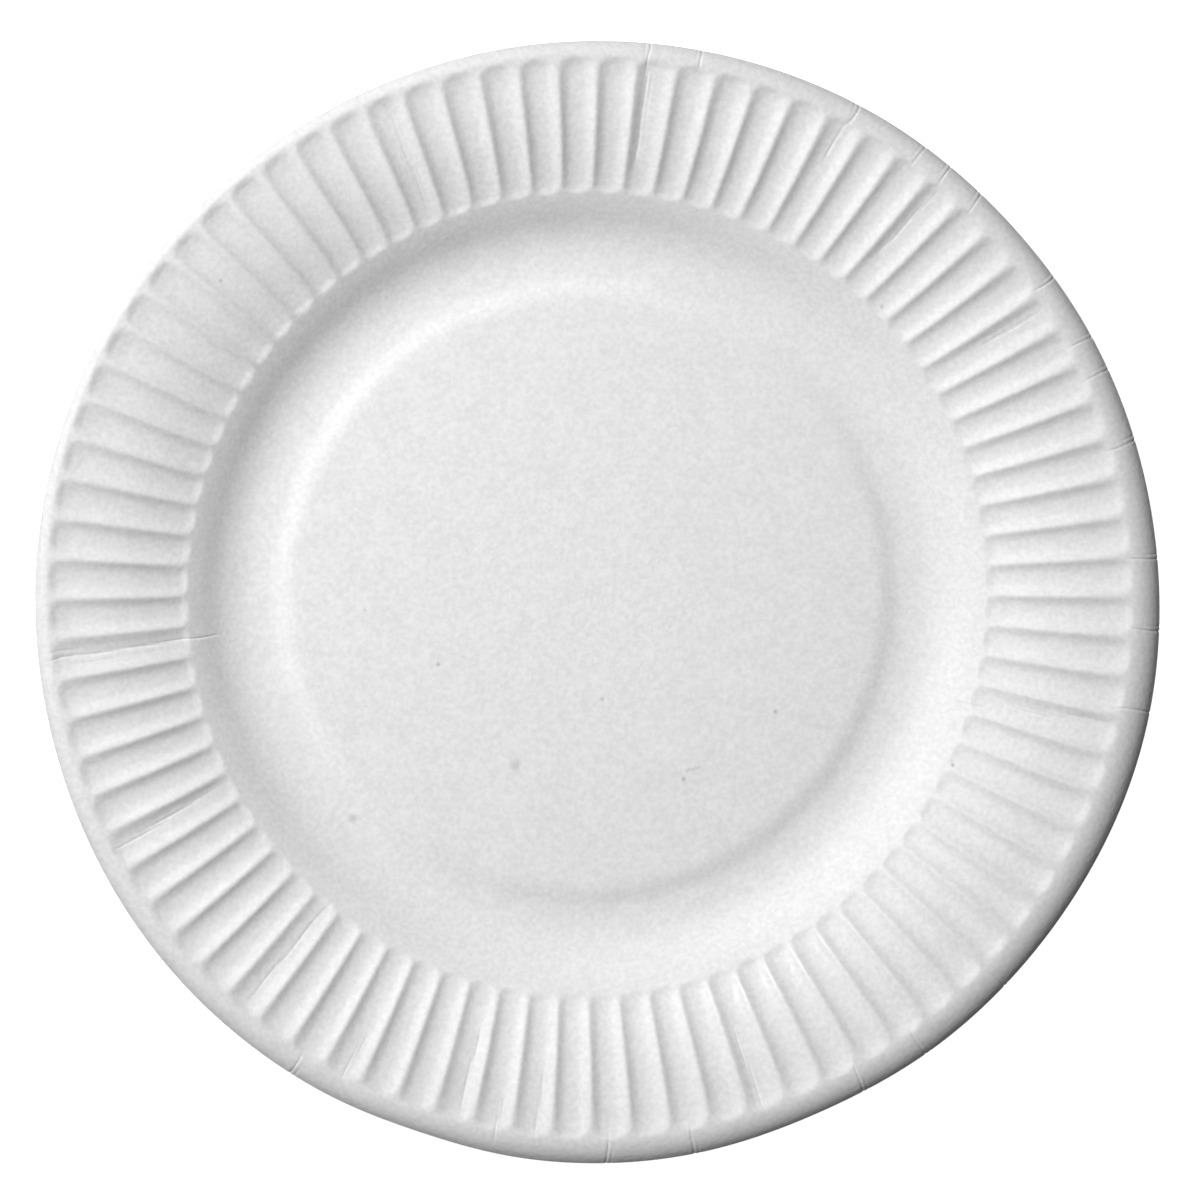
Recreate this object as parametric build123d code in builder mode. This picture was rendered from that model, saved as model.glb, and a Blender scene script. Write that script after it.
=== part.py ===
from build123d import *

import os
from build123d.topology import SkipClean
from math import atan, cos, degrees, pi, radians, sin, sqrt

# A disposable paper plate pressed from one round of board, in millimetres.
# The frame stands on the ring that the plate rests on, with +Z up through its middle.

# The board and the outer edge
PLATE_DIAMETER = 228.0
BOARD = 0.4

# The raised panel and the low ring around it, measured on the underside
PANEL_DIAMETER = 119.8
STEP_HEIGHT = 0.92
STEP_WIDTH = 5.8
REST_WIDTH = 1.9

# The wall, the rim and the lip, as radii of the underside and slopes against the floor
COVE_RADIUS = 16.0
WALL_SLOPE = 37.0
SHOULDER_RADIUS = 33.0
RIM_INNER_SLOPE = 29.0
RIM_OUTER_SLOPE = 3.0
LIP_RADIUS = 4.4
LIP_SLOPE = 54.0

# The flutes pressed into the rim, with their depth at the outer end and the lands left around them
FLUTE_COUNT = 84
FLUTE_DEPTH = 1.0
CREST_WIDTH = 0.9
INNER_LAND = 0.7
OUTER_LAND = 0.4

# The step is two equal arcs
step_angle = 2 * degrees(atan(STEP_HEIGHT / STEP_WIDTH))
step_radius = STEP_WIDTH / 2 / sin(radians(step_angle))

# The rim's arc spans what the wall and the lip leave of the plate's radius
rest_end = PANEL_DIAMETER / 2 + STEP_WIDTH + REST_WIDTH
cove_run = COVE_RADIUS * sin(radians(WALL_SLOPE))
shoulder_run = SHOULDER_RADIUS * (sin(radians(WALL_SLOPE)) - sin(radians(RIM_INNER_SLOPE)))
lip_run = LIP_RADIUS * (sin(radians(RIM_OUTER_SLOPE)) + sin(radians(LIP_SLOPE)))
edge_run = BOARD * sin(radians(LIP_SLOPE))
rim_start = rest_end + cove_run + shoulder_run
rim_end = PLATE_DIAMETER / 2 - edge_run - lip_run
rim_radius = (rim_end - rim_start) / (sin(radians(RIM_INNER_SLOPE)) - sin(radians(RIM_OUTER_SLOPE)))

# The underside of the board, as distance from the middle and height, in three runs
with BuildLine() as well:
    panel = Line((0, STEP_HEIGHT), (PANEL_DIAMETER / 2, STEP_HEIGHT))
    step_crest = JernArc(panel @ 1, panel % 1, step_radius, -step_angle)
    JernArc(step_crest @ 1, step_crest % 1, step_radius, step_angle)
    rest_ring = Line((rest_end - REST_WIDTH, 0), (rest_end, 0))
    cove = JernArc(rest_ring @ 1, rest_ring % 1, COVE_RADIUS, WALL_SLOPE)
    shoulder = JernArc(cove @ 1, cove % 1, SHOULDER_RADIUS, RIM_INNER_SLOPE - WALL_SLOPE)
with BuildLine() as rim:
    arch = JernArc(shoulder @ 1, shoulder % 1, rim_radius, RIM_OUTER_SLOPE - RIM_INNER_SLOPE)
with BuildLine() as lip:
    JernArc(arch @ 1, arch % 1, LIP_RADIUS, -(RIM_OUTER_SLOPE + LIP_SLOPE))

# A flute fills its pitch between crests, so it is wider and deeper towards the outside
pitch = 2 * pi / FLUTE_COUNT
rim_centre = arch.arc_center
top_radius = rim_radius + BOARD
inner_slope = radians(RIM_INNER_SLOPE) - INNER_LAND / top_radius
outer_slope = radians(RIM_OUTER_SLOPE) + OUTER_LAND / top_radius
inner_width = (rim_centre.X - top_radius * sin(inner_slope)) * pitch - CREST_WIDTH
outer_width = (rim_centre.X - top_radius * sin(outer_slope)) * pitch - CREST_WIDTH
flute_radius = (outer_width**2 / 4 + FLUTE_DEPTH**2) / 2 / FLUTE_DEPTH
inner_depth = flute_radius - sqrt(flute_radius**2 - inner_width**2 / 4)

# Its floor is an arc like the rim's, moved inwards along the rim to fall away under the outer end
half_turn = (inner_slope - outer_slope) / 2
middle_slope = (inner_slope + outer_slope) / 2
floor_radius = top_radius - (inner_depth + FLUTE_DEPTH) / 2
floor_shift = (FLUTE_DEPTH - inner_depth) / 2 / sin(half_turn)
floor_centre = rim_centre - Vector(cos(middle_slope), sin(middle_slope)) * floor_shift
floor_slope = middle_slope - floor_shift / floor_radius


def flute_form(section_radius, overrun):
    """A round bar bent along the floor of the flute on +X, past both of its ends by overrun."""
    reach = half_turn + overrun / floor_radius
    with BuildPart() as form:
        with BuildLine(Plane.XZ):
            floor = CenterArc(
                (floor_centre.X, floor_centre.Y),
                floor_radius,
                90 + degrees(floor_slope + reach),
                -2 * degrees(reach),
            )
        with BuildSketch(Plane(floor @ 0, x_dir=(0, 1, 0), z_dir=floor % 0)):
            with Locations((0, flute_radius)):
                Circle(section_radius)
        revolve(axis=Axis((floor_centre.X, 0, floor_centre.Y), (0, 1, 0)), revolution_arc=2 * degrees(reach))
    return form.part


trough = flute_form(flute_radius, 0)
bulge = flute_form(flute_radius + BOARD, BOARD)
pitch_start = Plane.XZ.rotated((0, 0, -degrees(pitch) / 2))
pitch_end = Plane.XZ.rotated((0, 0, degrees(pitch) / 2))

# The underside of a flute, which starts inside the board so that the two join
with BuildPart() as rib:
    add(bulge)
    split(bisect_by=pitch_start, keep=Keep.BOTTOM)
    split(bisect_by=pitch_end, keep=Keep.TOP)
    with BuildSketch(Plane.YZ):
        with BuildLine():
            middle = CenterArc(
                (rim_centre.X, rim_centre.Y),
                rim_radius + BOARD / 2,
                90 + RIM_OUTER_SLOPE,
                RIM_INNER_SLOPE - RIM_OUTER_SLOPE,
            )
            Polyline(middle @ 1, (rim_start, 0), (rim_end, 0), middle @ 0)
        make_face()
    revolve(axis=Axis.Z, mode=Mode.INTERSECT)

# One pitch of the rim with its flute
with BuildPart() as fluted_pitch:
    with BuildSketch(pitch_start):
        with BuildLine():
            add(rim.line)
            offset(amount=BOARD, side=Side.LEFT)
        make_face()
    revolve(axis=Axis.Z, revolution_arc=degrees(pitch))
    add(rib.part)
    add(trough, mode=Mode.SUBTRACT)

# The whole plate, as the fluted rim, the well inside it and the lip around it
with SkipClean():
    # The pitches of the rim stay faces of their own, each with one flute
    with BuildPart() as paper_plate:
        with PolarLocations(0, FLUTE_COUNT):
            add(fluted_pitch.part)
        for run in (well, lip):
            with BuildSketch(Plane.XZ):
                with BuildLine():
                    add(run.line)
                    offset(amount=BOARD, side=Side.LEFT)
                make_face()
            revolve(axis=Axis.Z)

os.makedirs("parts", exist_ok=True)
paper_plate.part.label = "paper_plate"
export_step(paper_plate.part, "parts/paper_plate.step")
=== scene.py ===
"""Presses a fluted paper plate from a flat round of board and sets it on a white stage."""

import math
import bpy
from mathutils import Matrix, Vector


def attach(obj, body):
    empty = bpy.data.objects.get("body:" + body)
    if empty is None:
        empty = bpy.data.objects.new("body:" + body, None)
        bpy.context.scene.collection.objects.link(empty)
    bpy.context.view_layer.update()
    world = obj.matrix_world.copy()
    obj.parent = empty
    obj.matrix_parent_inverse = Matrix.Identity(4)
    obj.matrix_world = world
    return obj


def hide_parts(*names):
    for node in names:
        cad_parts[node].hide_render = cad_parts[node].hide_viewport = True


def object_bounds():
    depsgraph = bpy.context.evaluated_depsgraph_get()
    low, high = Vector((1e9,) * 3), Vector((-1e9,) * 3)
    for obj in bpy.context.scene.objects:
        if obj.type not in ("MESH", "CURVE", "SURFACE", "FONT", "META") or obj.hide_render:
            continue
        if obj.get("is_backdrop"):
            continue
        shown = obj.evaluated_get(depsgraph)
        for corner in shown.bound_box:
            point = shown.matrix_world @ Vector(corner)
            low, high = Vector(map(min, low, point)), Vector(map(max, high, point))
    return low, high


bl_info = {
    "name": "Pressed Paper Plate",
    "version": (1, 0, 0),
    "blender": (4, 5, 0),
    "location": "3D View > Sidebar > Paper Plate",
    "description": "Presses a fluted paper plate from a flat round of board and lights it on a white stage",
    "category": "Object",
}

from typing import NamedTuple

import bpy
from mathutils import Matrix, Vector

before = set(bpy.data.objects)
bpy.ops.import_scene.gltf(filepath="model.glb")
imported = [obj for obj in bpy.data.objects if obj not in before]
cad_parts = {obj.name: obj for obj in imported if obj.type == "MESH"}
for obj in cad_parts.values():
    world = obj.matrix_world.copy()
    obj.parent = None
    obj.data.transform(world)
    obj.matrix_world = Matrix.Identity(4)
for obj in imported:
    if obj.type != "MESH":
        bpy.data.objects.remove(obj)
CAD_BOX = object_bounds()
PLATE_NODE = "paper_plate"
MM = 0.001
# Points that lie closer together than this are one
SAME_PLACE = 0.01 * MM
# Name of the attribute that holds how shiny the board is
BURNISH = "burnish"


class PlateSettings(bpy.types.PropertyGroup):
    """Sizes, colours and finish of the pressed plate."""

    diameter: bpy.props.FloatProperty(
        name="Diameter", description="Across the outer edge", default=228 * MM, unit="LENGTH"
    )
    board: bpy.props.FloatProperty(
        name="Board", description="Thickness of the board", default=0.4 * MM, unit="LENGTH"
    )
    panel_diameter: bpy.props.FloatProperty(
        name="Panel", description="Across the raised panel in the middle", default=118.4 * MM, unit="LENGTH"
    )
    step_height: bpy.props.FloatProperty(
        name="Step Height",
        description="How far the panel stands above the low ring",
        default=1.05 * MM,
        unit="LENGTH",
    )
    step_width: bpy.props.FloatProperty(
        name="Step Width", description="Width of the step around the panel", default=6.6 * MM, unit="LENGTH"
    )
    rest_width: bpy.props.FloatProperty(
        name="Rest Width",
        description="Width of the low ring that the plate stands on",
        default=1.9 * MM,
        unit="LENGTH",
    )
    cove_radius: bpy.props.FloatProperty(
        name="Cove Radius", description="Bend at the foot of the wall", default=16 * MM, unit="LENGTH"
    )
    wall_slope: bpy.props.FloatProperty(
        name="Wall Slope",
        description="Steepest slope of the wall",
        default=math.radians(37),
        subtype="ANGLE",
    )
    shoulder_radius: bpy.props.FloatProperty(
        name="Shoulder Radius", description="Bend at the top of the wall", default=33 * MM, unit="LENGTH"
    )
    rim_inner_slope: bpy.props.FloatProperty(
        name="Rim Inner Slope",
        description="Slope where the rim starts",
        default=math.radians(29),
        subtype="ANGLE",
    )
    rim_outer_slope: bpy.props.FloatProperty(
        name="Rim Outer Slope",
        description="Slope where the rim ends",
        default=math.radians(1),
        subtype="ANGLE",
    )
    lip_radius: bpy.props.FloatProperty(
        name="Lip Radius", description="Bend of the lip that turns down", default=4.4 * MM, unit="LENGTH"
    )
    lip_slope: bpy.props.FloatProperty(
        name="Lip Slope", description="How steeply the lip ends", default=math.radians(54), subtype="ANGLE"
    )
    flute_count: bpy.props.IntProperty(
        name="Flutes", description="Number of flutes around the rim", default=84, min=3
    )
    flute_depth: bpy.props.FloatProperty(
        name="Flute Depth", description="Depth of a flute at its outer end", default=1.2 * MM, unit="LENGTH"
    )
    crest_width: bpy.props.FloatProperty(
        name="Crest Width",
        description="Width of a round crest at its outer end",
        default=1.35 * MM,
        unit="LENGTH",
    )
    flute_roundness: bpy.props.FloatProperty(
        name="Flute Roundness",
        description="0 for a flat floor, 1 for a round one",
        default=0.25,
        min=0,
        max=1,
        subtype="FACTOR",
    )
    inner_land: bpy.props.FloatProperty(
        name="Inner Land", description="Smooth rim inside the flutes", default=0.7 * MM, unit="LENGTH"
    )
    outer_land: bpy.props.FloatProperty(
        name="Outer Land", description="Smooth rim outside the flutes", default=0.4 * MM, unit="LENGTH"
    )
    inner_corner: bpy.props.FloatProperty(
        name="Inner Corner",
        description="Rounding of a flute's inner corners",
        default=2.6 * MM,
        unit="LENGTH",
    )
    outer_corner: bpy.props.FloatProperty(
        name="Outer Corner",
        description="Rounding of a flute's outer corners",
        default=3.4 * MM,
        unit="LENGTH",
    )
    inner_step: bpy.props.FloatProperty(
        name="Inner Step",
        description="Length of the step at a flute's inner end",
        default=2.0 * MM,
        unit="LENGTH",
    )
    outer_step: bpy.props.FloatProperty(
        name="Outer Step",
        description="Length of the step at a flute's outer end",
        default=2.4 * MM,
        unit="LENGTH",
    )
    columns: bpy.props.IntProperty(
        name="Columns", description="Columns of faces across one flute", default=10, min=4
    )
    blank_offset: bpy.props.FloatVectorProperty(
        name="Blank Offset",
        description="How far the blank lay off the middle of the press",
        size=2,
        default=(2.8 * MM, -2.1 * MM),
        subtype="TRANSLATION",
    )
    dark_fibre: bpy.props.FloatVectorProperty(
        name="Dark Fibre",
        description="Darkest tone in the grain of the board",
        size=4,
        default=(0.735, 0.735, 0.735, 1),
        min=0,
        max=1,
        subtype="COLOR",
    )
    light_fibre: bpy.props.FloatVectorProperty(
        name="Light Fibre",
        description="Lightest tone in the grain of the board",
        size=4,
        default=(0.83, 0.83, 0.83, 1),
        min=0,
        max=1,
        subtype="COLOR",
    )
    grain_depth: bpy.props.FloatProperty(
        name="Grain Depth", description="Depth of the grain of the board", default=0.08 * MM, unit="LENGTH"
    )
    roughness: bpy.props.FloatProperty(
        name="Roughness", description="How matt the board is", default=0.66, min=0, max=1, subtype="FACTOR"
    )
    rubbed_roughness: bpy.props.FloatProperty(
        name="Rubbed Roughness",
        description="How matt the rubbed crests are",
        default=0.32,
        min=0,
        max=1,
        subtype="FACTOR",
    )


class StageSettings(bpy.types.PropertyGroup):
    """The floor under the plate, and the camera and the light over it."""

    turn: bpy.props.FloatProperty(
        name="Turn",
        description="Turn of the picture against the plate",
        default=math.radians(-1.85),
        subtype="ANGLE",
    )
    camera_lean: bpy.props.FloatVectorProperty(
        name="Camera Lean",
        description="Direction from the plate to the camera",
        default=(-0.115, 0.06, 0.99),
        subtype="DIRECTION",
    )
    camera_distance: bpy.props.FloatProperty(
        name="Camera Distance", description="From the middle of the plate", default=1.2, unit="LENGTH"
    )
    view_width: bpy.props.FloatProperty(
        name="View Width", description="Width of the picture at the plate", default=246 * MM, unit="LENGTH"
    )
    view_middle: bpy.props.FloatVectorProperty(
        name="View Middle",
        description="Point at the middle of the picture",
        default=(2.7 * MM, -1.3 * MM, 1 * MM),
        subtype="TRANSLATION",
    )
    key_azimuth: bpy.props.FloatProperty(
        name="Key Azimuth",
        description="Side that the main light stands on",
        default=math.radians(142.5),
        subtype="ANGLE",
    )
    key_elevation: bpy.props.FloatProperty(
        name="Key Elevation",
        description="Height of the main light as an angle",
        default=math.radians(51.5),
        subtype="ANGLE",
    )
    key_distance: bpy.props.FloatProperty(
        name="Key Distance", description="From the middle of the plate", default=1.1, unit="LENGTH"
    )
    key_size: bpy.props.FloatProperty(
        name="Key Size", description="Side of the square main light", default=0.3, unit="LENGTH"
    )
    key_spread: bpy.props.FloatProperty(
        name="Key Spread",
        description="How widely the main light spreads",
        default=math.radians(46),
        subtype="ANGLE",
    )
    key_power: bpy.props.FloatProperty(
        name="Key Power", description="Power of the main light", default=1.0, unit="POWER"
    )
    sky_strength: bpy.props.FloatProperty(
        name="Sky", description="Strength of the soft light from above", default=0.085
    )
    ground_strength: bpy.props.FloatProperty(
        name="Ground", description="Strength of the light from below", default=0.045
    )
    floor_colour: bpy.props.FloatVectorProperty(
        name="Floor Colour",
        description="Colour of the plain floor",
        size=4,
        default=(0.9, 0.9, 0.9, 1),
        min=0,
        max=1,
        subtype="COLOR",
    )


class SectionRun(NamedTuple):
    """One straight or arc of the section under the board, from its inner end."""

    start: float
    length: float
    radius: float
    height: float
    slope: float
    bend: float

    def at(self, along):
        """Radius, height and slope at a distance along the board."""
        run = along - self.start
        slope = self.slope + self.bend * run
        if self.bend == 0:
            return (
                self.radius + run * math.cos(slope),
                self.height + run * math.sin(slope),
                slope,
            )
        return (
            self.radius + (math.sin(slope) - math.sin(self.slope)) / self.bend,
            self.height - (math.cos(slope) - math.cos(self.slope)) / self.bend,
            slope,
        )


class PlateSection:
    """The section of the plate, from its middle to the edge of the lip."""

    def __init__(self, plate):
        step_slope = 2 * math.atan(plate.step_height / plate.step_width)
        step_radius = plate.step_width / 2 / math.sin(step_slope)
        rest_end = plate.panel_diameter / 2 + plate.step_width + plate.rest_width
        wall_sine = math.sin(plate.wall_slope)
        rim_sine = math.sin(plate.rim_inner_slope)
        outer_sine = math.sin(plate.rim_outer_slope)
        lip_sine = math.sin(plate.lip_slope)
        rim_start = rest_end + plate.cove_radius * wall_sine + plate.shoulder_radius * (wall_sine - rim_sine)
        rim_end = plate.diameter / 2 - plate.board * lip_sine - plate.lip_radius * (outer_sine + lip_sine)
        rim_radius = (rim_end - rim_start) / (rim_sine - outer_sine)
        self.runs = {}
        self.end = SectionRun(0, 0, 0, plate.step_height, 0, 0)
        self.add_straight("panel", plate.panel_diameter / 2)
        self.add_arc("step_crest", step_radius, -step_slope)
        self.add_arc("step_foot", step_radius, 0)
        self.add_straight("rest", plate.rest_width)
        self.add_arc("cove", plate.cove_radius, plate.wall_slope)
        self.add_arc("shoulder", plate.shoulder_radius, plate.rim_inner_slope)
        self.add_arc("rim", rim_radius, plate.rim_outer_slope)
        self.add_arc("lip", plate.lip_radius, -plate.lip_slope)

    def add_straight(self, name, length):
        """Goes on straight from the end."""
        self.add(name, length, 0)

    def add_arc(self, name, radius, end_slope):
        """Goes on from the end in an arc, up to a slope."""
        turn = end_slope - self.end.slope
        self.add(name, radius * abs(turn), math.copysign(1 / radius, turn))

    def add(self, name, length, bend):
        """Adds a run at the end and moves the end past it."""
        run = self.end._replace(length=length, bend=bend)
        self.runs[name] = run
        radius, height, slope = run.at(run.start + length)
        self.end = SectionRun(run.start + length, 0, radius, height, slope, 0)

    def at(self, along):
        """Radius, height and slope of the underside at a distance along the board."""
        for run in self.runs.values():
            if along <= run.start + run.length:
                break
        return run.at(along)


# Rows of faces on each run of the section, apart from the rim
RUN_ROWS = {"panel": 2, "step_crest": 3, "step_foot": 3, "rest": 1, "cove": 6, "shoulder": 3, "lip": 6}
# Rows on the rim, as distances from the ends of the flutes, and the wider ones between
FLUTE_END_ROWS = (0, 0.3 * MM, 0.6 * MM, 1.0 * MM, 1.5 * MM, 2.2 * MM)
RIM_MIDDLE_ROWS = 8
# Share of a flute's depth in the step at its end, and length of the gentle run behind it
END_STEP = 0.6
END_RUN = 8 * MM
# Share of the outer step that reaches past the flutes onto the smooth land
OUTER_OVERRUN = 0.25
# Share by which the columns of faces gather at the crests
COLUMN_GATHER = 0.6


class Crease(NamedTuple):
    """A crease across the rim. Its place around the rim is counted in flutes."""

    inner_flute: float
    inner_radius: float
    outer_flute: float
    outer_radius: float
    fold: float
    groove: float

    def line(self, radius):
        """Place of the crease around the rim at a radius, in flutes."""
        share = (radius - self.inner_radius) / (self.outer_radius - self.inner_radius)
        wander = CREASE_WANDER * math.sin(radius / CREASE_WAVE + self.inner_flute)
        return self.inner_flute + (self.outer_flute - self.inner_flute) * share + wander

    def strength(self, radius):
        """How much of the crease is left at a radius, fading out at both ends."""
        return ease(min(radius - self.inner_radius, self.outer_radius - radius) / CREASE_FADE)


# How far a crease strays from its line in flutes, and the length of its waves
CREASE_WANDER = 0.035
CREASE_WAVE = 1.7 * MM
# Length over which a crease fades out, and width of its groove
CREASE_FADE = 3 * MM
CREASE_WIDTH = 0.19 * MM
# Depth of a folded flute against a plain one
FOLD_DEPTH = 1.2
# Each crease lies in a flute that buckled, and most folded it to a V
CREASES = (
    Crease(42.9, 75 * MM, 43.0, 112 * MM, 0.5, 0.2 * MM),
    Crease(43.1, 85 * MM, 43.18, 97 * MM, 0.0, 0.07 * MM),
    Crease(43.12, 95 * MM, 43.24, 109 * MM, 0.0, 0.09 * MM),
    Crease(42.85, 98 * MM, 42.8, 112 * MM, 0.0, 0.09 * MM),
    Crease(47.8, 86 * MM, 48.0, 110 * MM, 0.25, 0.14 * MM),
    Crease(53.1, 82 * MM, 53.0, 109 * MM, 0.3, 0.15 * MM),
    Crease(56.2, 99 * MM, 56.0, 111 * MM, 0.15, 0.12 * MM),
    Crease(59.2, 90 * MM, 59.1, 109 * MM, 0.3, 0.15 * MM),
    Crease(60.2, 102 * MM, 60.1, 113 * MM, 0.1, 0.12 * MM),
    Crease(61.2, 96 * MM, 61.1, 111 * MM, 0.15, 0.12 * MM),
    Crease(66.8, 93 * MM, 66.9, 111 * MM, 0.15, 0.12 * MM),
    Crease(79.6, 77 * MM, 80.4, 109 * MM, 0.2, 0.12 * MM),
    Crease(80.6, 102 * MM, 80.8, 118 * MM, 0.0, 0.18 * MM),
    Crease(7.1, 94 * MM, 7.1, 109 * MM, 0.15, 0.12 * MM),
    Crease(11.2, 90 * MM, 11.1, 109 * MM, 0.15, 0.12 * MM),
    Crease(14.1, 99 * MM, 13.9, 113 * MM, 0.15, 0.12 * MM),
    Crease(19.2, 87 * MM, 19.2, 111 * MM, 0.3, 0.14 * MM),
    Crease(19.05, 92 * MM, 19.1, 109 * MM, 0.0, 0.08 * MM),
    Crease(25.9, 84 * MM, 25.9, 110 * MM, 0.1, 0.08 * MM),
)
# Short nicks across the lip, by their place around the rim in flutes
LIP_NICKS = (
    0.4, 3.2, 5.0, 5.9, 7.6, 10.2, 11.2, 12.0, 13.9, 17.9, 19.2, 32.6,
    54.9, 62.9, 65.0, 69.3, 71.0, 73.4, 82.7,
)
# Radii where the long and the short line of a nick start, and past the edge, where both end
NICK_START = 108 * MM
NICK_MIDDLE = 110 * MM
NICK_END = 122 * MM
# Depth of the long line, and the flutes between the two
NICK_GROOVE = 0.16 * MM
NICK_GAP = 0.12
# Cuts that give the board enough faces to crease, and how far from a crease they are made
CREASE_CUTS = 6
CREASE_REACH = 0.7 * MM


class Stretch(NamedTuple):
    """A stretch around the plate, with what it adds in its middle."""

    angle: float
    spread: float
    reach: float

    def at(self, angle):
        """What the stretch adds at an angle."""
        apart = (angle - self.angle + math.pi) % (2 * math.pi) - math.pi
        return self.reach * math.exp(-((apart / self.spread) ** 2))


# Where the edge lies further out or in than the rest
EDGE_BUMPS = (
    Stretch(math.radians(343), math.radians(18), 0.9 * MM),
    Stretch(math.radians(292), math.radians(11), -0.8 * MM),
    Stretch(math.radians(250), math.radians(8), -0.6 * MM),
    Stretch(math.radians(218), math.radians(20), 0.5 * MM),
    Stretch(math.radians(40), math.radians(14), -0.5 * MM),
    Stretch(math.radians(95), math.radians(16), 0.2 * MM),
    Stretch(math.radians(155), math.radians(50), 2.1 * MM),
)
# Share of an uneven edge that the rim takes up, and where the rim itself was pressed further out
RIM_STRAY = 0.4
RIM_BUMP = Stretch(math.radians(150), math.radians(37), 1.5 * MM)
# Where the press rubbed the crests shiny
RUBBED = Stretch(math.radians(295), math.radians(15), 1)
# The rubbed run of a crest, from the inner ends of the flutes, and the length of its fades
RUB_START = 1 * MM
RUB_END = 10 * MM
RUB_FADE = 2.5 * MM
# Half the width that is rubbed fully, as a share of a flute
RUB_WIDTH = 1 / 6
# Edges that turn more sharply than this are left sharp
SMOOTH_ANGLE = math.radians(50)


def flute_pitch(plate):
    """Angle from one flute to the next."""
    return 2 * math.pi / plate.flute_count


def flute_ends(plate, section):
    """Distances along the board between which the flutes lie, with the outer ends rounded over."""
    rim = section.runs["rim"]
    outer = rim.start + rim.length - plate.outer_land
    return rim.start + plate.inner_land, outer + plate.outer_step * OUTER_OVERRUN


def ring_places(plate, section):
    """Distances along the board of all rings of vertices, from the inside."""
    places = set()
    for name, rows in RUN_ROWS.items():
        run = section.runs[name]
        places.update(run.start + run.length * row / rows for row in range(1, rows + 1))
    inner, outer = flute_ends(plate, section)
    places.update(inner + step for step in FLUTE_END_ROWS)
    places.update(outer - step for step in FLUTE_END_ROWS)
    middle_start = inner + FLUTE_END_ROWS[-1]
    middle = outer - FLUTE_END_ROWS[-1] - middle_start
    places.update(middle_start + middle * row / RIM_MIDDLE_ROWS for row in range(1, RIM_MIDDLE_ROWS))
    rim = section.runs["rim"]
    places.add(rim.start + rim.length)
    return sorted(places)


def ease(share):
    """A share from 0 to 1 that starts and ends gently."""
    share = max(min(share, 1), 0)
    return share * share * (3 - 2 * share)


def all_creases():
    """The creases, with the long and the short line that make each nick."""
    nicks = []
    for flute in LIP_NICKS:
        beside = flute + NICK_GAP
        nicks.append(Crease(flute, NICK_START, flute, NICK_END, 0, NICK_GROOVE))
        nicks.append(Crease(beside, NICK_MIDDLE, beside, NICK_END, 0, NICK_GROOVE / 2))
    return CREASES + tuple(nicks)


def flutes_apart(plate, first, second):
    """Flutes between two places around the rim, the shorter way."""
    half = plate.flute_count / 2
    return (first - second + half) % plate.flute_count - half


def creases_near(plate, creases, radius, angle, reach):
    """Each crease within reach of a place, with its distance and strength there."""
    pitch = flute_pitch(plate)
    for crease in creases:
        if not crease.inner_radius < radius < crease.outer_radius:
            continue
        distance = flutes_apart(plate, angle / pitch, crease.line(radius)) * pitch * radius
        if abs(distance) < reach:
            yield crease, distance, crease.strength(radius)


def fold_shape(offset, line, half):
    """Depth of a V across a flute, from 1 at its line to 0 at both crests."""
    side = half - line if offset > line else half + line
    return max(1 - abs(offset - line) / side, 0)


def end_share(distance, step):
    """Share of a flute's depth at a distance from its end, past a short step and a gentle run."""
    return END_STEP * ease(distance / step) + (1 - END_STEP) * ease(distance / END_RUN)


def flute_lift(plate, ends, creases, along, radius, angle):
    """Height of the fluted rim against its crests."""
    inner, outer = ends
    from_inner = along - inner
    from_outer = outer - along
    if from_inner <= 0 or from_outer <= 0:
        return 0
    pitch = flute_pitch(plate)
    offset = (angle / pitch + 0.5) % 1 - 0.5
    across = offset * pitch * radius
    half = radius * pitch / 2
    beside = half - abs(across)
    for from_end, corner in ((from_inner, plate.inner_corner), (from_outer, plate.outer_corner)):
        if from_end < corner:
            beside -= corner - math.sqrt(corner**2 - (corner - from_end) ** 2)
    # Towards the inside, the flutes are narrower and shallower alike
    share = radius / (plate.diameter / 2)
    crest = math.exp(-((max(beside, 0) / plate.crest_width / share) ** 2))
    round_floor = plate.flute_roundness * (across / half) ** 2
    depth = plate.flute_depth * share
    hollow = -depth * (1 - crest) * (1 - round_floor)
    flute = angle / pitch - offset
    for crease, distance, strength in creases_near(plate, creases, radius, angle, 2 * half):
        if round(flutes_apart(plate, crease.inner_flute, flute)) == 0:
            fold = -FOLD_DEPTH * depth * fold_shape(across, across - distance, half)
            hollow += crease.fold * strength * (fold - hollow)
    inner_share = end_share(from_inner, plate.inner_step)
    return hollow * inner_share * end_share(from_outer, plate.outer_step)


def new_blank(plate, places):
    """A flat round of board with its rings of faces, inset from the edge inwards."""
    bpy.ops.object.select_all(action="DESELECT")
    bpy.ops.mesh.primitive_circle_add(
        vertices=plate.flute_count * plate.columns, radius=places[-1], fill_type="NGON"
    )
    bpy.ops.object.mode_set(mode="EDIT")
    bpy.ops.mesh.select_mode(type="FACE")
    bpy.ops.mesh.select_all(action="SELECT")
    for outer, inner in zip(places[:0:-1], places[-2::-1]):
        bpy.ops.mesh.inset(thickness=outer - inner)
    bpy.ops.mesh.poke()
    bpy.ops.object.mode_set(mode="OBJECT")
    blank = bpy.context.object
    for vertex in blank.data.vertices:
        angle = math.atan2(vertex.co.y, vertex.co.x)
        gather = COLUMN_GATHER * math.sin(plate.flute_count * angle) / plate.flute_count
        vertex.co.rotate(Matrix.Rotation(gather, 3, "Z"))
    return blank


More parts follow.
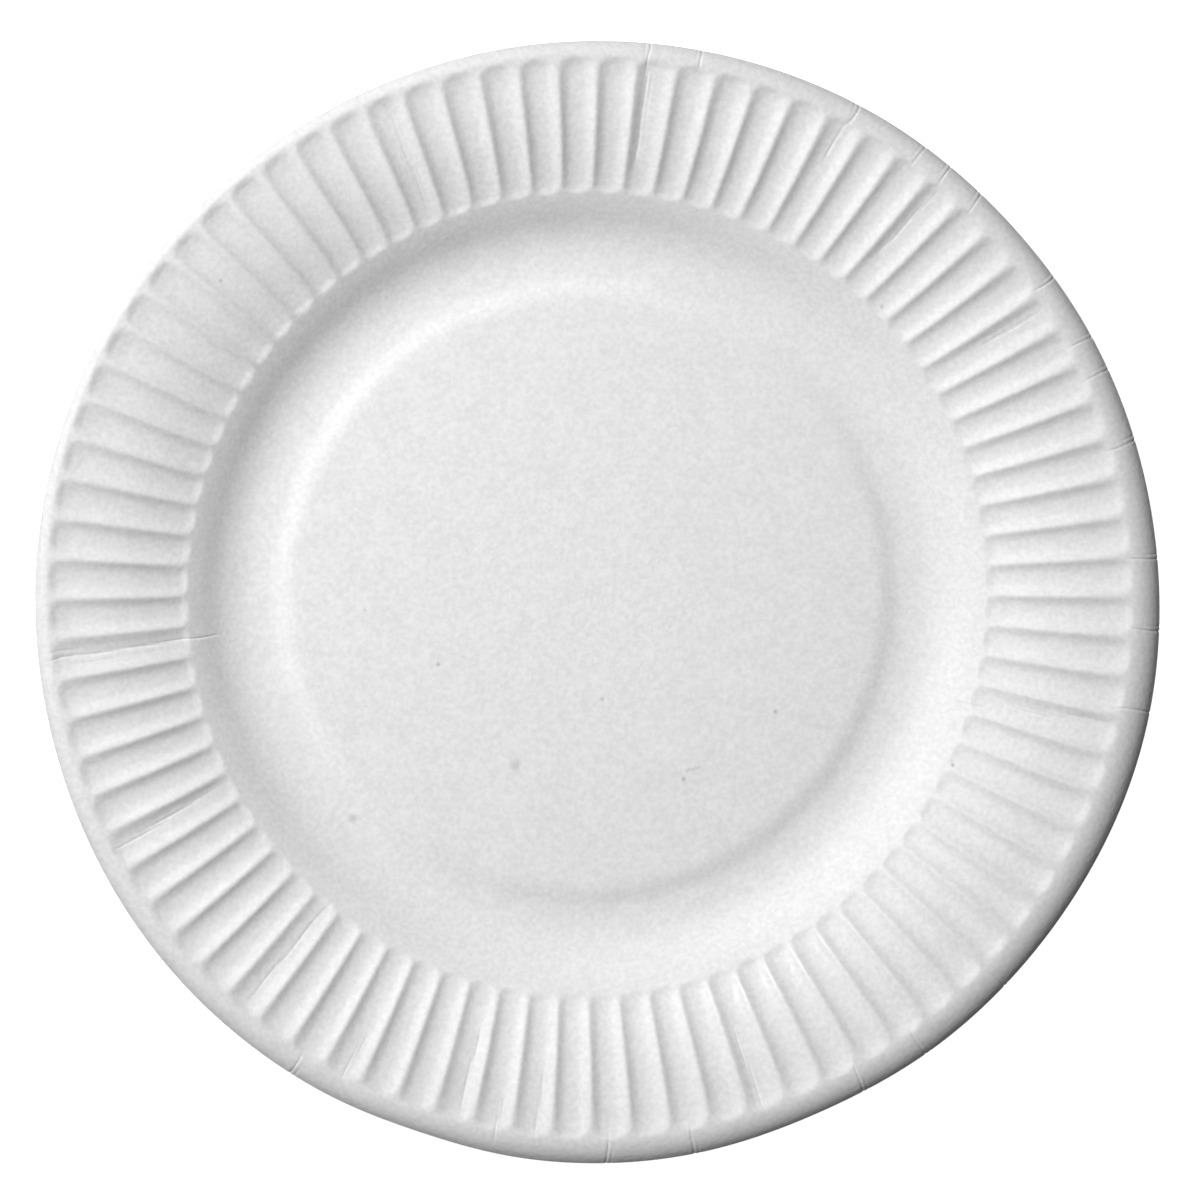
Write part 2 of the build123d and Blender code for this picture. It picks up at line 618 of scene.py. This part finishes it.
def cut_creases(blank, plate, section):
    """Cuts the faces of the blank into narrow strips along each crease."""
    mesh = blank.data
    creases = all_creases()
    for part in (mesh.vertices, mesh.edges, mesh.polygons):
        part.foreach_set("select", [False] * len(part))
    for edge in mesh.edges:
        first, second = (mesh.vertices[corner].co for corner in edge.vertices)
        along = first.xy.length
        if abs(along - second.xy.length) > SAME_PLACE or along < section.runs["cove"].start:
            continue
        middle = (first + second) / 2
        angle = math.atan2(middle.y, middle.x)
        reach = CREASE_REACH + (first - middle).length
        near = creases_near(plate, creases, section.at(along)[0], angle, reach)
        edge.select = any(True for _ in near)
    bpy.ops.object.mode_set(mode="EDIT")
    bpy.ops.mesh.select_mode(type="EDGE")
    bpy.ops.mesh.subdivide(number_cuts=CREASE_CUTS, ngon=False)
    bpy.ops.object.mode_set(mode="OBJECT")


def edge_stray(plate, angle):
    """How far the edge lies off its true circle at an angle."""
    stray = plate.blank_offset[0] * math.cos(angle) + plate.blank_offset[1] * math.sin(angle)
    return stray + sum(bump.at(angle) for bump in EDGE_BUMPS)


def burnish(plate, ends, along, angle):
    """How shiny the press rubbed a crest between the flutes, near its inner end."""
    from_crest = abs((angle / flute_pitch(plate)) % 1 - 0.5)
    valley = ease((from_crest - RUB_WIDTH) / (0.5 - RUB_WIDTH))
    from_inner = along - ends[0]
    run = ease((from_inner - RUB_START) / RUB_FADE) * ease((RUB_END - from_inner) / RUB_FADE)
    return (1 - valley) * run * RUBBED.at(angle)


def press_blank(blank, plate, section):
    """Presses the flat blank into the section, with its flutes and creases."""
    ends = flute_ends(plate, section)
    shine = blank.data.attributes.new(BURNISH, "FLOAT", "POINT")
    rim = section.runs["rim"]
    lip = section.runs["lip"]
    creases = all_creases()
    for vertex in blank.data.vertices:
        along = vertex.co.xy.length
        angle = math.atan2(vertex.co.y, vertex.co.x)
        true_radius, height, slope = section.at(along)
        radius = true_radius
        stray = edge_stray(plate, angle)
        rim_stray = RIM_STRAY * stray + RIM_BUMP.at(angle)
        if along > lip.start:
            widen = (stray - rim_stray) / (section.end.radius - lip.radius)
            radius += widen * (radius - lip.radius)
            height += widen * (height - lip.height)
        radius += rim_stray * ease((along - rim.start) / rim.length)
        lift = plate.board + flute_lift(plate, ends, creases, along, true_radius, angle)
        for crease, distance, strength in creases_near(plate, creases, true_radius, angle, CREASE_REACH):
            lift -= crease.groove * strength * math.exp(-((distance / CREASE_WIDTH) ** 2))
        radius -= lift * math.sin(slope)
        height += lift * math.cos(slope)
        vertex.co = (radius * math.cos(angle), radius * math.sin(angle), height)
        shine.data[vertex.index].value = burnish(plate, ends, along, angle)


def thicken(plate_object, plate):
    """Gives the pressed sheet its thickness, below the face that is seen."""
    bpy.ops.object.mode_set(mode="EDIT")
    bpy.ops.mesh.select_all(action="SELECT")
    bpy.ops.mesh.remove_doubles(threshold=SAME_PLACE)
    bpy.ops.mesh.normals_make_consistent(inside=False)
    bpy.ops.object.mode_set(mode="OBJECT")
    wall = plate_object.modifiers.new("board", "SOLIDIFY")
    wall.thickness = plate.board
    wall.offset = -1
    wall.use_even_offset = True
    bpy.ops.object.modifier_apply(modifier=wall.name)
    bpy.ops.object.shade_smooth_by_angle(angle=SMOOTH_ANGLE)


class Speck(NamedTuple):
    """A dark fleck in the board, by its place in plan."""

    x: float
    y: float
    radius: float
    shade: float


SPECKS = (
    Speck(-31.1 * MM, -13.2 * MM, 0.7 * MM, 0.4),
    Speck(2.4 * MM, -21.7 * MM, 0.7 * MM, 0.25),
    Speck(38.2 * MM, -25.8 * MM, 0.7 * MM, 0.4),
    Speck(-16.0 * MM, -34.6 * MM, 1.8 * MM, 0.22),
    Speck(18.7 * MM, -38.9 * MM, 0.7 * MM, 0.35),
    Speck(-49.6 * MM, -44.1 * MM, 1.5 * MM, 0.22),
    Speck(-45.7 * MM, -1.6 * MM, 0.6 * MM, 0.2),
    Speck(73.9 * MM, -37.9 * MM, 0.6 * MM, 0.4),
    Speck(61.9 * MM, 56.8 * MM, 0.6 * MM, 0.3),
    Speck(-73.2 * MM, 66.6 * MM, 0.6 * MM, 0.3),
    # A stray fibre, as a row of flecks
    Speck(19.4 * MM, -37.2 * MM, 0.6 * MM, 0.2),
    Speck(20.0 * MM, -36.9 * MM, 0.6 * MM, 0.2),
    Speck(20.7 * MM, -37.0 * MM, 0.6 * MM, 0.2),
    Speck(21.4 * MM, -36.8 * MM, 0.6 * MM, 0.2),
    Speck(22.0 * MM, -36.6 * MM, 0.6 * MM, 0.2),
)


# Scales of the noise in the fibres and in the wider clouds, and its layers of detail
FIBRE_SCALE = 1000
CLOUD_SCALE = 190
NOISE_DETAIL = 2
# Part of the noise that runs from the darkest to the lightest fibre
FIBRE_SPAN = (0.3, 0.7)
# Shares by which the clouds darken and lighten the board
CLOUD_SHADES = (0.955, 1.045)


def link(nodes, source, target):
    """Leads an output of one node to an input of another."""
    nodes.id_data.links.new(source, target)


def new_noise(nodes, place, scale):
    """Soft noise over the board."""
    noise = nodes.new("ShaderNodeTexNoise")
    noise.inputs["Scale"].default_value = scale
    noise.inputs["Detail"].default_value = NOISE_DETAIL
    link(nodes, place, noise.inputs["Vector"])
    return noise.outputs["Fac"]


def new_range(nodes, value, low, high):
    """A value spread from low to high."""
    spread = nodes.new("ShaderNodeMapRange")
    spread.inputs["To Min"].default_value = low
    spread.inputs["To Max"].default_value = high
    link(nodes, value, spread.inputs["Value"])
    return spread


def new_shade(nodes, colour, share):
    """A colour made darker or lighter by a share."""
    shade = nodes.new("ShaderNodeVectorMath")
    shade.operation = "SCALE"
    link(nodes, colour, shade.inputs[0])
    link(nodes, share, shade.inputs["Scale"])
    return shade.outputs["Vector"]


def add_mottle(nodes, place, colour):
    """Clouds the colour a little, as fibres do where they lie thicker."""
    cloud = new_range(nodes, new_noise(nodes, place, CLOUD_SCALE), *CLOUD_SHADES)
    return new_shade(nodes, colour, cloud.outputs["Result"])


def add_specks(nodes, place, colour):
    """Darkens the colour at each speck."""
    plan = nodes.new("ShaderNodeVectorMath")
    plan.operation = "MULTIPLY"
    plan.inputs[1].default_value = (1, 1, 0)
    link(nodes, place, plan.inputs[0])
    for speck in SPECKS:
        distance = nodes.new("ShaderNodeVectorMath")
        distance.operation = "DISTANCE"
        distance.inputs[1].default_value = (speck.x, speck.y, 0)
        link(nodes, plan.outputs["Vector"], distance.inputs[0])
        fade = new_range(nodes, distance.outputs["Value"], 1 - speck.shade, 1)
        fade.interpolation_type = "SMOOTHSTEP"
        fade.inputs["From Max"].default_value = speck.radius
        colour = new_shade(nodes, colour, fade.outputs["Result"])
    return colour


def board_material(plate):
    """White pressed board with a fine fibre grain."""
    material = bpy.data.materials.new("white_pressed_board")
    material.use_nodes = True
    nodes = material.node_tree.nodes
    shader = nodes["Principled BSDF"]
    place = nodes.new("ShaderNodeTexCoord").outputs["Object"]

    shine = nodes.new("ShaderNodeAttribute")
    shine.attribute_name = BURNISH
    gloss = new_range(nodes, shine.outputs["Fac"], plate.roughness, plate.rubbed_roughness)
    link(nodes, gloss.outputs["Result"], shader.inputs["Roughness"])

    fibres = new_noise(nodes, place, FIBRE_SCALE)
    tones = nodes.new("ShaderNodeValToRGB")
    dark, light = tones.color_ramp.elements
    dark.position, light.position = FIBRE_SPAN
    dark.color = plate.dark_fibre
    light.color = plate.light_fibre
    link(nodes, fibres, tones.inputs["Fac"])
    colour = add_specks(nodes, place, add_mottle(nodes, place, tones.outputs["Color"]))
    link(nodes, colour, shader.inputs["Base Color"])

    grain = nodes.new("ShaderNodeBump")
    grain.inputs["Strength"].default_value = 1
    grain.inputs["Distance"].default_value = plate.grain_depth
    link(nodes, fibres, grain.inputs["Height"])
    link(nodes, grain.outputs["Normal"], shader.inputs["Normal"])
    return material


class PAPERPLATE_OT_press_plate(bpy.types.Operator):
    """Press the plate from a flat round of board"""

    bl_idname = "paper_plate.press_plate"
    bl_label = "Press Plate"
    bl_options = {"REGISTER", "UNDO"}

    def execute(self, context):
        plate = context.scene.paper_plate
        section = PlateSection(plate)
        sheet = new_blank(plate, ring_places(plate, section))
        sheet.name = "pressed_plate"
        cut_creases(sheet, plate, section)
        press_blank(sheet, plate, section)
        thicken(sheet, plate)
        sheet.data.materials.append(board_material(plate))
        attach(sheet, "root")
        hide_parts(PLATE_NODE)
        return {"FINISHED"}


# Side of the floor, and how far it lies under the plate
FLOOR_SIZE = 8
FLOOR_DROP = 0.2 * MM
# Heights on the sky's globe between which the light from below gives way to that from above
SKY_FADE = (-0.3, 0.5)
WHITE = (1, 1, 1, 1)
# Width of the camera's sensor, in the millimetres that its lens is given in
SENSOR_WIDTH = 36


def aim(item, place, back, up):
    """Sets an object at a place so that it looks away from back, with up at its top."""
    right = up.cross(back).normalized()
    turn = Matrix((right, back.cross(right), back)).transposed()
    item.matrix_world = Matrix.Translation(place) @ turn.to_4x4()


class PAPERPLATE_OT_set_stage(bpy.types.Operator):
    """Set up the white floor, the light and the camera"""

    bl_idname = "paper_plate.set_stage"
    bl_label = "Set Stage"
    bl_options = {"REGISTER", "UNDO"}

    def execute(self, context):
        stage = context.scene.paper_plate_stage
        turn = Matrix.Rotation(stage.turn, 3, "Z")
        up = turn @ Vector((0, 1, 0))
        self.lay_floor(stage)
        self.hang_sky(context.scene, stage)
        self.hang_key(stage, turn, up)
        context.scene.camera = self.place_camera(stage, turn, up)
        context.scene.view_settings.view_transform = "Standard"
        return {"FINISHED"}

    def lay_floor(self, stage):
        """Lays a floor that shows white and leaves the light on the plate alone."""
        bpy.ops.mesh.primitive_plane_add(size=FLOOR_SIZE, location=(0, 0, -FLOOR_DROP))
        floor = bpy.context.object
        floor.name = "floor"
        floor.visible_diffuse = False
        floor.visible_glossy = False
        floor.visible_shadow = False
        material = bpy.data.materials.new("white_floor")
        material.use_nodes = True
        shader = material.node_tree.nodes["Principled BSDF"]
        shader.inputs["Base Color"].default_value = stage.floor_colour
        shader.inputs["Emission Color"].default_value = WHITE
        shader.inputs["Emission Strength"].default_value = 1
        floor.data.materials.append(material)
        floor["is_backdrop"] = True

    def hang_sky(self, scene, stage):
        """Sets the soft light all around, stronger from above, with white behind the plate."""
        world = bpy.data.worlds.new("studio")
        scene.world = world
        world.use_nodes = True
        nodes = world.node_tree.nodes
        place = nodes.new("ShaderNodeTexCoord")
        split = nodes.new("ShaderNodeSeparateXYZ")
        link(nodes, place.outputs["Generated"], split.inputs["Vector"])
        fade = new_range(nodes, split.outputs["Z"], stage.ground_strength, stage.sky_strength)
        fade.interpolation_type = "SMOOTHSTEP"
        fade.inputs["From Min"].default_value = SKY_FADE[0]
        fade.inputs["From Max"].default_value = SKY_FADE[1]
        soft = nodes["Background"]
        soft.inputs["Color"].default_value = WHITE
        link(nodes, fade.outputs["Result"], soft.inputs["Strength"])
        backdrop = nodes.new("ShaderNodeBackground")
        backdrop.inputs["Color"].default_value = WHITE
        path = nodes.new("ShaderNodeLightPath")
        mix = nodes.new("ShaderNodeMixShader")
        link(nodes, path.outputs["Is Camera Ray"], mix.inputs["Fac"])
        link(nodes, soft.outputs["Background"], mix.inputs[1])
        link(nodes, backdrop.outputs["Background"], mix.inputs[2])
        link(nodes, mix.outputs["Shader"], nodes["World Output"].inputs["Surface"])

    def hang_key(self, stage, turn, up):
        """Hangs the main light at its side of the plate."""
        level = math.cos(stage.key_elevation)
        side = turn @ Vector((
            level * math.cos(stage.key_azimuth),
            level * math.sin(stage.key_azimuth),
            math.sin(stage.key_elevation),
        ))
        bpy.ops.object.light_add(type="AREA")
        key = bpy.context.object
        key.name = "key_light"
        key.data.shape = "SQUARE"
        key.data.size = stage.key_size
        key.data.energy = stage.key_power
        key.data.spread = stage.key_spread
        aim(key, side * stage.key_distance, side, up)

    def place_camera(self, stage, turn, up):
        """Sets the camera over the plate."""
        back = (turn @ Vector(stage.camera_lean)).normalized()
        bpy.ops.object.camera_add()
        camera = bpy.context.object
        camera.name = "camera"
        camera.data.sensor_width = SENSOR_WIDTH
        camera.data.lens = SENSOR_WIDTH * stage.camera_distance / stage.view_width
        aim(camera, turn @ Vector(stage.view_middle) + back * stage.camera_distance, back, up)
        return camera


class PAPERPLATE_PT_sidebar(bpy.types.Panel):
    """Lists the plate's settings and the steps that make it"""

    bl_idname = "PAPERPLATE_PT_sidebar"
    bl_label = "Paper Plate"
    bl_space_type = "VIEW_3D"
    bl_region_type = "UI"
    bl_category = "Paper Plate"

    def draw(self, context):
        layout = self.layout
        for settings, operator in (
            (context.scene.paper_plate, PAPERPLATE_OT_press_plate),
            (context.scene.paper_plate_stage, PAPERPLATE_OT_set_stage),
        ):
            box = layout.box()
            for name in settings.__annotations__:
                box.prop(settings, name)
            box.operator(operator.bl_idname)


CLASSES = (
    PlateSettings,
    StageSettings,
    PAPERPLATE_OT_press_plate,
    PAPERPLATE_OT_set_stage,
    PAPERPLATE_PT_sidebar,
)


def register():
    for cls in CLASSES:
        bpy.utils.register_class(cls)
    bpy.types.Scene.paper_plate = bpy.props.PointerProperty(type=PlateSettings)
    bpy.types.Scene.paper_plate_stage = bpy.props.PointerProperty(type=StageSettings)


def unregister():
    del bpy.types.Scene.paper_plate_stage
    del bpy.types.Scene.paper_plate
    for cls in reversed(CLASSES):
        bpy.utils.unregister_class(cls)


def main():
    register()
    bpy.ops.paper_plate.press_plate()
    bpy.ops.paper_plate.set_stage()
    boxes = {"cad": CAD_BOX, "visual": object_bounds()}
    {name: [list(corner) for corner in box] for name, box in boxes.items()}


if __name__ == "__main__":
    main()
